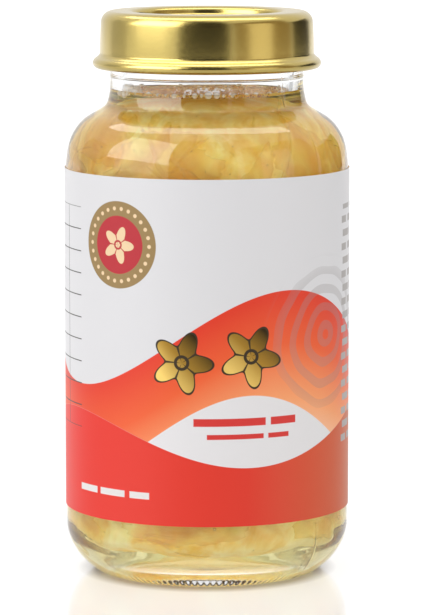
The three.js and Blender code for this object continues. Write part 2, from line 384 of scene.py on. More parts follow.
def jarOutside():
    # underside, standing ring, heel as a superellipse, straight body, shoulder spline, finish
    ring = jar["standRadius"] - jar["standWidth"]
    angle = np.linspace(math.pi / 2, 0, 22)[:-1]
    power = 2 / jar["heelPower"]
    heel = np.stack([
        jar["standRadius"] + (jar["bodyRadius"] - jar["standRadius"]) * np.cos(angle) ** power,
        jar["heelHeight"] * (1 - np.sin(angle) ** power)], axis=-1)
    top, outer, parting = jar["rimTop"], jar["finishRadius"], jar["parting"]["at"]
    outerLip, innerLip = jar["outerLip"], jar["innerLip"]
    return np.vstack([
        smoothLine(jar["pushUp"] + [(ring - 0.8, 0.5), (ring, 0.04)], 4),
        straight((ring + 0.15, 0), (jar["standRadius"], 0), 4),
        heel,
        straight((jar["bodyRadius"], jar["heelHeight"]), jar["shoulder"][0], 10),
        smoothLine(jar["shoulder"], 4)[:-4],
        straight((outer, parting - 0.6), (outer, parting + 0.6), 12),
        straight((outer, parting + 0.7), (outer, top - outerLip), 26),
        arcLine((outer - outerLip, top - outerLip), outerLip, 0, 90, 5),
        arcLine((jar["mouthRadius"] + innerLip, top - innerLip), innerLip, 90, 180, 5),
    ])


def jarInside():
    # mouth, inner shoulder spline, straight wall, heel arc, crowned floor
    low, heel, side = jar["floorTop"], jar["innerHeel"], jar["innerRadius"]
    middle = (0, low + jar["floorCrown"])
    return np.vstack([
        straight((jar["mouthRadius"], jar["rimTop"] - 1.4), jar["innerShoulder"][0], 5),
        smoothLine(jar["innerShoulder"], 3)[:-1],
        straight(jar["innerShoulder"][-1], (side, low + heel), 16),
        arcLine((side - heel, low + heel), heel, 0, -90, 9)[:-1],
        straight((side - heel, low), middle, 6),
        [middle],
    ])


def wallWave(height, angle):
    # moulded glass is never quite even inside: slow sine waves round and up the wall, faded
    # out at the mouth and towards the middle of the floor
    wave = sum(share * np.sin(number * angle + height / rise + phase)
               for share, number, rise, phase in jar["waves"])
    fade = np.clip((96 - height) / 12, 0, 1) * np.clip((height - 4.5) / 5, 0, 1)
    return jar["waviness"] * wave * fade


def sideRadius(height):
    # radius of the inner wall at a height, read off the inner profile
    profile = jarInside()[::-1]
    return np.interp(height, profile[:, 1], profile[:, 0])


def threadOut(height, angle):
    # ridges that climb round the finish, with rounded tops and tapered ends
    thread = jar["thread"]
    pitch = turn / thread["starts"]
    along = ((angle - thread["first"] * degree) % pitch) / degree
    half = thread["height"] / 2
    across = (height - thread["underside"] - thread["lead"] * along - half) / (half + 0.15)
    ends = np.clip(np.minimum(along, thread["span"] - along) / thread["taper"], 0, 1)
    reach = thread["radius"] - jar["finishRadius"]
    return reach * np.sqrt(np.clip(1 - across**4, 0, 1)) * ends


def makeGlass(material, wetMaterial):
    outside, inside = jarOutside(), jarInside()
    profile = np.vstack([outside, inside])
    seam, parting, knurl = jar["seam"], jar["parting"], jar["knurl"]
    seams = [seam["angle"] * degree, seam["angle"] * degree + math.pi]
    near = np.linspace(-1.1, 1.1, 13) * degree
    angle = np.concatenate([onceRound(jar["columns"])] + [near + s for s in seams])
    angle = np.unique(np.round(angle % turn, 6))
    height = profile[:, 1:]
    isOutside = (np.arange(len(profile)) < len(outside))[:, None]

    # vertical mould seams and the neck ring's parting line: low rounded ridges
    fromSeam = np.min([np.abs((angle - s + math.pi) % turn - math.pi) for s in seams], axis=0)
    seamOut = seam["height"] * np.exp(-(fromSeam / (seam["width"] * degree)) ** 2) * (height > 2)
    partingOut = parting["height"] * np.exp(-((height - parting["at"]) / parting["width"]) ** 2)

    # knurled standing ring: small scallops pressed into the edge that the jar stands on
    fromBelt = profile[:, :1] - jar["standRadius"] - knurl["fromStand"]
    belt = np.exp(-(fromBelt / knurl["width"]) ** 2) * (height < knurl["top"])
    knurlOut = knurl["depth"] * belt * np.cos(knurl["count"] * angle)

    out = seamOut + partingOut + threadOut(height, angle) + knurlOut
    out = np.where(isOutside, out, wallWave(height, angle))
    piece = closedSurfaces("glassJar", turned(profile, angle, out), material)
    piece.data.materials.append(wetMaterial)

    # the inside below the syrup's level takes the wetted finish: quads run row by row, then
    # come the fans at the two poles
    wetRow = ~isOutside[1:-2, 0] & (profile[1:-2, 1] <= fill["wallTop"])
    fan = np.ones(len(angle), bool)
    isWet = np.concatenate([np.repeat(wetRow, len(angle)), ~fan, fan])
    piece.data.polygons.foreach_set("material_index", isWet.astype(np.int32))
    return piece


clearGlass = {"Base Color": linear("#fbfcfd"), "Roughness": 0.0, "IOR": 1.52, "Transmission Weight": 1.0}
# pressed and blown flint glass: colourless, mirror smooth, a hair grey in the thick parts
glass = newMaterial("soda-lime container glass", clearGlass)[0]
# where syrup wets the wall the index hardly changes, so next to nothing is reflected
wetGlass = newMaterial("soda-lime container glass, wetted", {
    **clearGlass, "Specular Tint": (0.05, 0.05, 0.05, 1)})[0]
glassJar = makeGlass(glass, wetGlass)
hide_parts("glass_jar")
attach(glassJar, "jar")


print("stage: syrup")


def makeSyrup(material):
    # the inner wall's profile, a little grown, and a level surface that climbs the wall by an
    # exponential of the distance from it
    inside = jarInside()[::-1]
    wallTop = np.interp(fill["wallTop"], inside[:, 1], inside[:, 0])
    side = np.vstack([inside[inside[:, 1] < fill["wallTop"]], (wallTop, fill["wallTop"])])
    away = np.concatenate([np.linspace(0, 3, 13), np.linspace(3.6, wallTop, 12)])
    rise = fill["meniscus"] * np.exp(-away / fill["meniscusWidth"])
    surface = np.stack([wallTop - away, fill["level"] + rise], axis=-1)
    profile = np.vstack([side, surface[1:]])
    angle = onceRound(300)
    isSide = (np.arange(len(profile)) < len(side))[:, None]
    grown = fill["wetOverlap"] * np.clip(profile[:, :1], 0, 1)
    out = np.where(isSide, wallWave(profile[:, 1:], angle) + grown, 0)
    points = turned(profile, angle, out)
    isFloor = profile[:len(side), 1:] < jar["floorTop"] + jar["floorCrown"] + 0.1
    points[:len(side), :, 2] -= fill["wetOverlap"] * isFloor
    return closedSurfaces("syrup", points, material)


syrupLiquid, tree, shader = newMaterial("rock sugar syrup", {
    # thick clear syrup, tinted amber through its depth
    "Base Color": linear("#ffffff"), "Roughness": 0.0, "IOR": 1.39, "Transmission Weight": 1.0,
    "Specular Tint": (0.3, 0.3, 0.3, 1),
})
depth = add(tree, "VolumeAbsorption", {"Color": (0.97, 0.89, 0.1, 1), "Density": 31.0})
output = next(node for node in tree.nodes if node.type == "OUTPUT_MATERIAL")
tree.links.new(depth, output.inputs["Volume"])
syrup = makeSyrup(syrupLiquid)
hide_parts("syrup")
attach(syrup, "jar")


print("stage: nest")

nest = {
    "rings": {
        "low": {"height": 11.5, "count": 5, "first": 262, "length": 24, "width": 9.5},
        "middle": {"height": 43, "count": 4, "first": 300, "length": 25, "width": 17},
        "high": {"height": 75.5, "count": 5, "first": 248, "length": 23, "width": 10.5},
    },
    "fromWall": 0.3,
    "fibres": 9,
    "fibreDepth": 0.12,
    # ragged outline of a flake: size, number round and phase of each wave
    "ragged": [(0.13, 3, 1), (0.07, 5, 2), (0.05, 13, 3), (0.03, 29, 1)],
    "loose": {"count": 100, "height": (8, 83), "length": (8, 19), "width": (4, 9),
              "thickness": (0.7, 1.6), "tilt": 0.6, "inset": 1.0, "inward": 0.7, "seed": 7},
    # the mass has settled wider at the bottom
    "mass": {"bottom": 4.7, "top": 86.9, "rounding": 2.5, "inset": 4.6,
             "wider": 2.4, "widerFrom": 16.0, "widerTo": 7.0},
    "strands": {"count": 420, "length": (7, 20), "height": (7, 83), "slope": 2.4,
                "inset": 2.4, "halfWidth": (0.16, 0.46), "flatness": 0.55, "seed": 8},
    "specks": {"count": 160, "height": (6, 84), "inset": (0.1, 1.0), "radius": (0.05, 0.12)},
    "airBubbles": {"count": 70, "height": (8, 83), "inset": (0.05, 1.5), "radius": (0.14, 0.3)},
    "dotSeed": 9,
}


def flakePoints(angle, height, length, width, thickness, tilt, rag, inset, rows, columns):
    # a flattened ball with a ragged outline, wrapped on the inside of the jar: s runs along it
    # and w across it, fine ridges run along s, and it lies inset from the wall
    facts = (angle, height, length, width, thickness, tilt, rag, inset)
    angle, height, length, width, thickness, tilt, rag, inset = (
        np.asarray(fact, float).reshape(-1, 1, 1) for fact in facts)
    over = np.linspace(0, math.pi, rows)[None, :, None]
    around = onceRound(columns)[None, None, :]
    ragged = 1 + sum(size * np.sin(number * around + phase * rag)
                     for size, number, phase in nest["ragged"])
    edge = np.sin(over) ** 0.8
    s = np.cos(around) * ragged * edge * length / 2
    w = -np.sin(around) * ragged * edge * width / 2
    side = np.cos(over)
    fibre = turn * nest["fibres"] * w / width + 1.5 * np.sin(s / 2.3 + rag)
    ridges = nest["fibreDepth"] * np.sin(fibre) * edge
    depth = np.sign(side) * np.sqrt(np.abs(side)) * thickness / 2 + ridges
    lift = 0.35 * np.sin(s / 2.9 + rag) * np.sin(w / 2.1 + 2 * rag)
    z = height + s * np.sin(tilt) + w * np.cos(tilt)
    radius = sideRadius(z) - nest["fromWall"] - inset - thickness / 2 - depth - np.abs(lift)
    bend = angle + (s * np.cos(tilt) - w * np.sin(tilt)) / sideRadius(height)
    return aroundAxis(radius, bend, z)


def cloudyColour(tree, stops, **noise):
    # colours of a cloudy noise: its scale is in cells for each metre, here 5 to 9 mm apart
    place = add(tree, "TexCoord", {}, out="Object")
    cloud = add(tree, "TexNoise", {"Vector": place, **noise})
    ramp = add(tree, "ValToRGB", {"Fac": cloud})
    setStops(ramp, stops)
    return ramp


nestJelly, tree, shader = newMaterial("stewed swiftlet nest", {
    # soaked and stewed until it is a soft clear jelly, a little cloudy and very nearly the
    # syrup's own index, so its IOR is stated against the syrup round it
    "Roughness": 0.1, "IOR": 1.003, "Transmission Weight": 0.93,
})
clouds = cloudyColour(tree, [(0.35, "#f8e8b0"), (0.65, "#fffadf")], Scale=190.0, Detail=5.0, Roughness=0.6)
tree.links.new(clouds, shader.inputs["Base Color"])

nestHeart, tree, shader = newMaterial("packed stewed swiftlet nest", {
    # the same jelly, strand on strand: cloudy, so light goes in and comes back out soft
    "Roughness": 0.6, "IOR": 1.03,
    "Subsurface Weight": 1.0, "Subsurface Radius": (0.8, 0.8, 0.6), "Subsurface Scale": 0.006,
})
clouds = cloudyColour(tree, [(0.34, "#eabb4a"), (0.66, "#ffefb0")],
                      Scale=110.0, Detail=6.0, Roughness=0.65, Distortion=0.8)
tree.links.new(clouds, shader.inputs["Base Color"])


def puff(phase, softness):
    # rows of puffs between creases: a half less the rounded size of a sine
    return 0.5 - np.sqrt(np.sin(phase) ** 2 + softness)


def makeMass(material):
    # the loose mass of strands in the middle. Its radius is the wall's less an inset, rounded
    # off at both ends, plus slanting rows of puffs, finer puffs and wrinkles
    facts = nest["mass"]
    low, high = facts["bottom"], facts["top"]
    z = low + (high - low) * (0.5 - 0.5 * np.cos(np.linspace(0, math.pi, 170)[:, None]))
    angle = onceRound(280)[None, :]
    fromEnd = np.clip(np.minimum(z - low, high - z) / facts["rounding"], 0, 1)
    rounding = np.sqrt(1 - (1 - fromEnd) ** 2)
    warp = 0.5 * np.sin(2 * angle + z / 9) + 0.4 * np.sin(3 * angle - z / 6 + 1)
    puffs = (1.5 * puff(2.5 * angle + z / 11 + warp, 0.04)
             + 1.0 * puff(4 * angle - z / 7 + 2 * warp + 2, 0.06)
             + 0.6 * puff(9 * angle + z / 3.1 + 3 * warp, 0.1))
    wrinkles = (0.2 * np.sin(17 * angle - z / 1.3 + 5 * warp)
                + 0.1 * np.sin(31 * angle + z * 1.4 + 3 * warp))
    settled = np.clip((facts["widerFrom"] - z) / (facts["widerFrom"] - facts["widerTo"]), 0, 1)
    radius = sideRadius(z) - nest["fromWall"] - facts["inset"] + facts["wider"] * settled
    points = aroundAxis((radius + puffs + wrinkles) * rounding, angle, z)
    mass = closedSurfaces("nestMass", points, material)
    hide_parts("nest_mass")
    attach(mass, "jar")


def makeFlakes():
    # the larger flakes, in three rings along the wall, varied by sines of their number
    for ring, facts in nest["rings"].items():
        i = np.arange(facts["count"])
        points = flakePoints(
            angle=(facts["first"] + 360 / facts["count"] * i + 6 * np.sin(2.4 * i)) * degree,
            height=facts["height"] + 0.9 * np.sin(1.9 * i + 1),
            length=facts["length"] * (0.9 + 0.1 * np.sin(3.1 * i + 0.5)),
            width=facts["width"] * (0.92 + 0.08 * np.sin(2.2 * i)),
            thickness=2 + 0.4 * np.sin(1.3 * i),
            tilt=9 * np.sin(2.7 * i + 0.8) * degree,
            rag=1.7 * i + facts["height"],
            inset=0 * i,
            rows=20, columns=84)
        for k in i:
            flake = closedSurfaces(f"nestFlake{ring.capitalize()}{k + 1}", points[k], nestJelly)
            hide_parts(f"nest_flake_{ring}_{k + 1}")
            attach(flake, "jar")


def makeLooseFlakes():
    # smaller flakes through the whole syrup, more of them near the wall
    facts = nest["loose"]
    random = np.random.default_rng(facts["seed"])
    count = facts["count"]
    length = random.uniform(*facts["length"], count)
    width = random.uniform(*facts["width"], count)
    tilt = random.normal(0, facts["tilt"], count)
    # a flake keeps the height that it spans clear of the floor and of the level
    spread = 0.63 * (length * np.abs(np.sin(tilt)) + width * np.abs(np.cos(tilt)))
    height = np.clip(random.uniform(*facts["height"], count), 4.8 + spread, fill["level"] - 0.6 - spread)
    points = flakePoints(
        angle=random.uniform(0, turn, count),
        height=height,
        length=length,
        width=width,
        thickness=random.uniform(*facts["thickness"], count),
        tilt=tilt,
        rag=random.uniform(0, turn, count),
        inset=facts["inset"] + (sideRadius(height) - 9) * facts["inward"] * random.beta(1, 3.0, count),
        rows=10, columns=30)
    flakes = closedSurfaces("nestLooseFlakes", points, nestJelly)
    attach(flakes, "jar")


def makeStrands():
    # fine strands: each a thin tapered tube on a wavy path round the axis. The path's angle
    # and height are straight lines in t plus sines, and its radius follows the wall
    facts = nest["strands"]
    random = np.random.default_rng(facts["seed"])
    steps, sides = 22, 6
    t = np.linspace(0, 1, steps)[None, :]
    long, steep, high, wide, deep, phase, where, wander = (
        random.uniform(0, 1, (facts["count"], 1)) for _ in range(8))
    length = np.interp(long, (0, 1), facts["length"])
    slope = (steep - 0.5) * facts["slope"]
    start = np.interp(high, (0, 1), facts["height"])
    height = start + length * np.sin(slope) * (t - 0.5) + 0.6 * np.sin(9 * t + turn * wide)
    height = np.clip(height, 5.8, fill["level"] - 0.8)
    inset = facts["inset"] + (sideRadius(start) - 8) * deep**2
    reach = sideRadius(height) - 0.5 - inset + 0.7 * np.sin(7 * t + turn * phase)
    reach = np.maximum(reach, 1.0)
    bend = (turn * where + length * np.cos(slope) * (t - 0.5) / np.maximum(reach, 6)
            + 0.03 * np.sin(11 * t + turn * wander))
    path = aroundAxis(reach, bend, height)
    along = np.gradient(path, axis=1)
    along /= np.linalg.norm(along, axis=-1, keepdims=True)
    across = np.cross(along, aroundAxis(1.0, bend, 0.0))
    across /= np.linalg.norm(across, axis=-1, keepdims=True)
    outward = np.cross(across, along)
    around = onceRound(sides)[None, None, :, None]
    taper = np.sqrt(np.clip(np.sin(math.pi * t), 0, 1))[..., None, None]
    half = np.interp(wide, (0, 1), facts["halfWidth"])[..., None, None]
    ring = (across[:, :, None] * np.cos(around) * half
            + outward[:, :, None] * np.sin(around) * half * facts["flatness"])
    strands = closedSurfaces("nestStrands", path[:, :, None] + ring * taper, nestJelly)
    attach(strands, "jar")


def makeDots(name, material, facts, random):
    # tiny balls, each a little way in from the wall
    count = facts["count"]
    angle, height = random.uniform(0, turn, count), random.uniform(*facts["height"], count)
    inset, radius = random.uniform(*facts["inset"], count), random.uniform(*facts["radius"], count)
    centre = aroundAxis(sideRadius(height) - inset - radius, angle, height)
    dots = closedSurfaces(name, ballPoints(centre, radius, 7, 10), material)
    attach(dots, "jar")


makeMass(nestHeart)
makeFlakes()
makeLooseFlakes()
makeStrands()
# the few bits of down that cleaning leaves: dark and dull
downSpeck = newMaterial("speck of swiftlet down", {"Base Color": linear("#3a2a1a"), "Roughness": 0.8})[0]
airBubble = newMaterial("air bubble in syrup", {
    # seen from the syrup's side its index is below one, so its rim mirrors the light
    "Base Color": linear("#ffffff"), "Roughness": 0.0, "IOR": 0.72, "Transmission Weight": 1.0,
})[0]
dotRandom = np.random.default_rng(nest["dotSeed"])
makeDots("nestSpecks", downSpeck, nest["specks"], dotRandom)
makeDots("airBubbles", airBubble, nest["airBubbles"], dotRandom)


print("stage: froth")

froth = {
    "tiny": 1900,
    "smallest": 0.13,
    "largest": 0.34,
    "clearance": 0.15,
    # larger bubbles: (degrees round from +X, millimetres in from the wall, height over the
    # level, radius)
    "large": [(198, 0.1, 0.1, 1.2), (205, 0.2, 0.9, 0.7), (208.5, 0.2, 0.0, 0.6), (202, 1.6, 1.0, 0.6),
              (213, 0.2, 0.4, 0.5), (193, 0.2, 0.8, 0.6), (204, 0.2, -0.6, 0.6), (211, 1.4, 0.3, 0.5),
              (217, 0.2, 0.1, 0.4), (197, 2.1, 0.5, 0.6), (248, 0.1, 0.0, 0.48), (262, 0.1, 0.1, 0.52),
              (266.5, 0.1, 0.1, 0.36), (271, 0.1, 0.15, 0.68), (276.5, 0.1, 0.15, 0.62),
              (281, 0.2, 0.1, 0.34), (255, 0.2, 0.0, 0.3), (287, 0.2, 0.1, 0.38), (297, 0.1, 0.2, 0.36),
              (304, 0.1, 0.2, 0.4), (236, 0.2, 0.1, 0.36), (242, 0.3, 0.1, 0.3), (316, 0.2, 0.2, 0.4),
              (330, 0.2, 0.2, 0.5), (292, 2.2, 0.2, 0.5), (252, 3.0, 0.2, 0.45), (228, 0.2, 0.2, 0.4),
              (150, 0.2, 0.2, 0.6), (110, 0.2, 0.2, 0.5), (65, 0.3, 0.2, 0.6), (20, 0.2, 0.2, 0.5)],
    "seed": 3,
}


def makeFroth(name, material, angle, fromWall, lift, radius, rows, columns):
    # balls that float at the level, a little higher where it climbs the wall
    reach = np.clip(sideRadius(fill["level"]) - 0.1 - radius - fromWall, 0, None)
    height = fill["level"] + 0.45 * np.exp(-fromWall / fill["meniscusWidth"]) + lift
    centre = aroundAxis(reach, angle, height)
    bubbles = closedSurfaces(name, ballPoints(centre, radius, rows, columns), material)
    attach(bubbles, "jar")


def scatterFroth(smallMaterial, largeMaterial):
    # many tiny bubbles, more of them near the wall and none in a large one's place
    random = np.random.default_rng(froth["seed"])
    count = froth["tiny"]
    wall = sideRadius(fill["level"])
    size = froth["smallest"] * (froth["largest"] / froth["smallest"]) ** random.beta(1.3, 2.2, count)
    across = wall * (1 - np.sqrt(random.uniform(0, 1, count)))
    angle, fromWall, lift, large = np.array(froth["large"]).T
    angle = angle * degree
    tinyAngle = random.uniform(0, turn, count)
    tinyFromWall = across * random.uniform(0.4, 1, count)
    tinyLift = size * random.uniform(-0.4, 0.9, count)
    here = (wall - tinyFromWall) * np.exp(1j * tinyAngle)
    there = (wall - fromWall - large) * np.exp(1j * angle)
    gap = np.abs(here[:, None] - there[None, :]) - large
    clear = (gap > froth["clearance"]).all(axis=1)
    makeFroth("frothTiny", smallMaterial, tinyAngle[clear], tinyFromWall[clear],
              tinyLift[clear], size[clear], 6, 9)
    makeFroth("frothLarge", largeMaterial, angle, fromWall, lift, large, 14, 24)


bubbleFilm = newMaterial("syrup film of froth", {
    # a film of syrup round air: brownish where many lie behind each other, bright at the rims
    "Base Color": linear("#f9e6c8"), "Roughness": 0.02, "IOR": 1.25, "Transmission Weight": 1.0,
})[0]
bubblePaintedPale = newMaterial("large bubble painted pale for its mirrored light", {
    # painted reflection: the large bubbles are a part-matt near-white, which stands in for the light that an
    # air bubble mirrors at its rim, so each shows as a pale ball
    "Base Color": linear("#fffdf8"), "Roughness": 0.03, "IOR": 1.3, "Transmission Weight": 0.35,
})[0]
scatterFroth(bubbleFilm, bubblePaintedPale)


print("stage: lid")

lid = {
    "sheet": 0.25,
    "bottom": 92.4,
    "top": 102.8,
    "skirtRadius": 19.5,
    "cornerRadius": 2.1,
    "lean": 0.2,
    "crestInner": 14.4,
    "panelRadius": 13.2,
    "panelDepth": 1.6,
    "curlRadius": 20.82,
    "curlHeight": 1.9,
    "lugs": 4,
    "firstLug": 20.0,
    "lugHalfSpan": 8.0,
    "lugReach": 18.0,
}


def sheetLoop(line, thickness):
    # both faces of a sheet: the centre line moved half the thickness to each side, square to
    # its slope, there and back, closed round its two ends
    slope = np.gradient(line, axis=0)
    slope /= np.linalg.norm(slope, axis=-1, keepdims=True)
    square = np.stack([slope[:, 1], -slope[:, 0]], axis=-1) * thickness / 2
    return np.vstack([line + square, (line - square)[::-1]])


def smoothStep(x):
    # zero to one with a level start and end: three squares less two cubes
    x = np.clip(x, 0, 1)
    return x * x * (3 - 2 * x)


def makeLid(material):
    # the sheet's centre line from the middle out: sunk panel, crest, corner arc, skirt and
    # rolled edge, given both faces by sheetLoop and turned about +Z
    half = lid["sheet"] / 2
    crest = lid["top"] - half
    panel = lid["top"] - lid["panelDepth"] - half
    panelEdge, crestEdge = lid["panelRadius"], lid["crestInner"]
    skirt = lid["skirtRadius"] - half
    corner = lid["cornerRadius"] - half
    cornerAt = skirt - lid["lean"] - corner
    middle = lid["bottom"] + lid["curlHeight"] / 2
    low = lid["bottom"] + half
    rim = lid["curlRadius"] - half
    skirtLow = middle + 2.1
    # the skirt leans in towards the top, by the square of the way up
    up = np.linspace(1, 0, 14, endpoint=False)
    skirtLine = np.stack([skirt - lid["lean"] * up**2, skirtLow + up * (crest - corner - skirtLow)], axis=-1)
    curl = [(skirt, skirtLow), (skirt + 0.05, middle + 1.6), (skirt + 0.45, middle + 1.08),
            (rim - 0.28, middle + 0.62), (rim, middle), (rim - 0.3, middle - 0.6),
            (skirt + 0.5, low), (skirt - 0.05, low + 0.15),
            (skirt - 0.33, middle - 0.4), (skirt - 0.3, middle + 0.2)]
    line = np.vstack([
        straight((0, panel), (panelEdge - 1.4, panel), 8),
        smoothLine([(panelEdge - 1.4, panel), (panelEdge - 0.5, panel + 0.02),
                    (panelEdge + 0.15, panel + 0.35), (crestEdge - 0.7, crest - 0.4),
                    (crestEdge, crest - 0.03), (crestEdge + 0.9, crest)], 4)[:-1],
        straight((crestEdge + 0.9, crest), (cornerAt, crest), 6),
        arcLine((cornerAt, crest - corner), corner, 90, 4, 12)[:-1],
        skirtLine,
        smoothLine(curl, 5),
    ])
    profile = sheetLoop(line, lid["sheet"])
    angle = onceRound(360)

    # lugs: the end of the curl is pressed in towards the glass at four places
    pitch = turn / lid["lugs"]
    fromLug = np.abs((angle - lid["firstLug"] * degree + pitch / 2) % pitch - pitch / 2) / degree
    across = smoothStep((lid["lugHalfSpan"] + 1.2 - fromLug) / 2.4)
    curlEnd = np.clip((skirt + 0.35 - profile[:, :1]) / 0.4, 0, 1) * (profile[:, 1:] < middle + 0.6)
    isInner = np.arange(len(line)) > len(line) - 22
    weight = curlEnd * np.concatenate([isInner, isInner[::-1]])[:, None]
    out = -(skirt - 0.45 - lid["lugReach"]) * weight * across
    return closedSurfaces("lid", turned(profile, angle, out), material)


goldLacquer, tree, shader = newMaterial("gold lacquered tinplate", {
    # tin-coated steel under a baked gold lacquer: a metal with a satin grain and a clear coat
    "Base Color": linear("#bfaa62"), "Metallic": 1.0, "Roughness": 0.25,
    "Coat Weight": 0.2, "Coat Roughness": 0.12,
})
place = add(tree, "TexCoord", {}, out="Object")
grain = add(tree, "TexNoise", {"Vector": place, "Scale": 1500.0, "Detail": 2.0})   # 0.7 mm apart
satin = add(tree, "MapRange", {"Value": grain, "To Min": 0.19, "To Max": 0.27})
tree.links.new(satin, shader.inputs["Roughness"])
bump = add(tree, "Bump", {"Height": grain, "Strength": 0.16, "Distance": 0.00003})
tree.links.new(bump, shader.inputs["Normal"])
lidShell = makeLid(goldLacquer)
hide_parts("lid")
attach(lidShell, "lid")


liner = {"inner": 14.9, "outer": 18.5, "low": 101.45, "high": 102.3, "pressed": 16.5}


def makeLiner(material):
    # ring of sealing compound, with a groove where the rim has pressed into it
    inner, outer, low, high = liner["inner"], liner["outer"], liner["low"], liner["high"]
    profile = np.vstack([
        smoothLine([(inner, low + 0.1), (inner + 0.35, low - 0.02), (inner + 0.8, low + 0.03),
                    (liner["pressed"], low + 0.05), (outer - 0.9, low + 0.03),
                    (outer - 0.4, low - 0.02), (outer, low + 0.15)], 4),
        smoothLine([(outer, low + 0.2), (outer - 0.15, low + 0.5), (outer - 0.6, high),
                    (inner + 0.2, high), (inner, high - 0.25), (inner, low + 0.15)], 4)[:-1]])
    return closedSurfaces("lidLiner", turned(profile, onceRound(240)), material, loop=True)


plastisol, tree, shader = newMaterial("plastisol sealing compound", {
    # poured and cured: a dull off-white rubber, faintly pitted
    "Base Color": linear("#e8e4d8"), "Roughness": 0.55,
})
place = add(tree, "TexCoord", {}, out="Object")
grain = add(tree, "TexNoise", {"Vector": place, "Scale": 900.0})   # 1.1 mm apart
bump = add(tree, "Bump", {"Height": grain, "Strength": 0.2, "Distance": 0.0001})
tree.links.new(bump, shader.inputs["Normal"])
lidLiner = makeLiner(plastisol)
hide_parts("lid_liner")
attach(lidLiner, "liner")


print("stage: label")

label = {
    "bottom": 12.3,
    "top": 74.4,
    "thickness": 0.13,
    "gap": 0.05,
    "first": 80.0,
    "lap": 20.0,
}


def makeLabel(faceMaterial, backMaterial):
    # a strip wound once round the body from the back. Its end rises over its start. u is the
    # way round in mm from the front, v is the height above the lower edge
    inner = jar["bodyRadius"] + label["gap"]
    lift = label["thickness"] + label["gap"]
    angle = np.linspace(label["first"], label["first"] + 360 + label["lap"], 400)
    radius = inner + lift * smoothStep((angle - label["first"] - 350) / 9)
    outer = radius + label["thickness"]
    low, high = label["bottom"], label["top"]
    points = np.stack([aroundAxis(reach, angle * degree, height) for reach, height in (
        (outer, low), (outer, high), (radius, high), (radius, low))])
    columns = len(angle)
    index = np.arange(4 * columns).reshape(4, columns)
    nextIndex = np.roll(index, -1, axis=0)
    sides = np.stack([index[:, :-1], index[:, 1:], nextIndex[:, 1:], nextIndex[:, :-1]], axis=-1)
    ends = np.array([index[::-1, 0], index[:, -1]])
    quads = np.concatenate([sides.reshape(-1, 4), ends])
    materials = [faceMaterial, backMaterial]
    piece = meshPiece("label", points.reshape(-1, 3), quads, noTriangles, materials, sharp=30)
    isBack = np.zeros(len(quads), int)
    isBack[2 * (columns - 1):3 * (columns - 1)] = 1
    piece.data.polygons.foreach_set("material_index", isBack)
    around = (angle - 270) * degree * (jar["bodyRadius"] + 0.2)
    uv = np.stack([np.tile(around, 4), points[..., 2].ravel() - low], axis=-1)
    layer = piece.data.uv_layers.new(name="printMm")
    layer.uv.foreach_set("vector", uv[quads.ravel()].astype(np.float32).ravel())
    return piece


# the print, all in mm on the label: to the right from the front, and up from the lower edge
artwork = {
    "sharp": 0.05,
    "paper": "#d5d4d6",
    "hill": {"middle": 33.0, "rise": 9.0, "length": 13.5, "shift": -6.0, "fade": 27.0,
             "colours": [(0.03, "#da3415"), (0.35, "#e55a28"), (0.72, "#f09c66"), (1.0, "#f0c3a0")]},
    "mist": {"low": 15.0, "rise": 4.5, "length": 12.0, "shift": 8.0, "depth": 13.0, "colour": "#dcdadb"},
    "shore": {"left": -36.0, "right": 36.0,
              "colours": [(0.1, "#dd2a1c"), (0.6, "#d8311c"), (1.0, "#c46236")]},
    "swirl": {"at": (25.0, 33.0, 0), "radius": 15.0, "soft": 4.0, "spacing": 3.4, "colour": "#8c8582"},
    "foilEdge": "#33250a",
    # the foil's colours, light to dark across a blossom: a painted sheen
    "foil": [(0.0, "#f0cc70"), (0.5, "#a67f30"), (1.0, "#33250a")],
    # (place, size, lean)
    "blossoms": [((-4.5, 29.5, 0), 5.6, 0.3), ((8.0, 30.5, 0), 5.6, 0.9)],
    "seal": {"at": (-17.0, 50.0, 0), "rim": 7.8, "field": 5.2, "blossom": 3.5, "lean": 0.3,
             "beads": 26, "bead": 0.36, "gold": "#94794a", "red": "#b3202c", "cream": "#e6c9a0"},
    # (middle, half size, colour)
    "bars": [((4.2, 18.8, 0), (6.6, 0.7, 1), "#cf2f2a"), ((14.4, 18.8, 0), (2.6, 0.7, 1), "#cf2f2a"),
             ((5.2, 16.2, 0), (5.2, 0.45, 1), "#cf2f2a"), ((13.4, 16.2, 0), (2.1, 0.45, 1), "#cf2f2a"),
             ((-25.0, 5.2, 0), (2.6, 0.6, 1), "#dcd8d6"), ((-18.6, 5.2, 0), (2.9, 0.6, 1), "#dcd8d6"),
             ((-12.6, 5.2, 0), (2.0, 0.6, 1), "#dcd8d6")],
    # (middle, half size, (brick width, row height, gap, shift of each second row), colour)
    "grids": [((-34.0, 36.0, 0), (6.6, 20.0, 1), (7.4, 4.0, 0.2, 0.0), "#3b3937"),
              ((62.0, 33.0, 0), (15.0, 22.0, 1), (30.2, 5.5, 0.2, 0.0), "#3b3937")],
    "rows": [((36.5, 34.0, 0), (5.0, 22.0, 1), (5.6, 2.5, 1.3, 0.37), "#a5a09e"),
             ((-62.0, 33.0, 0), (14.0, 23.0, 1), (6.3, 2.5, 1.3, 0.37), "#a5a09e")],
}

# the print is laid down one ink after another, so each layer is (ink, colour). A shape is a
# signed distance in mm, below zero inside, that a Map Range turns to ink with a sharp edge
sharp = {"From Min": artwork["sharp"], "From Max": -artwork["sharp"]}


def wavePhase(tree, across, facts):
    # the place across, shifted and measured in radians of a wave
    shifted = add(tree, "Math", {0: across, 1: -facts["shift"]}, operation="ADD")
    return add(tree, "Math", {0: shifted, 1: facts["length"]}, operation="DIVIDE")


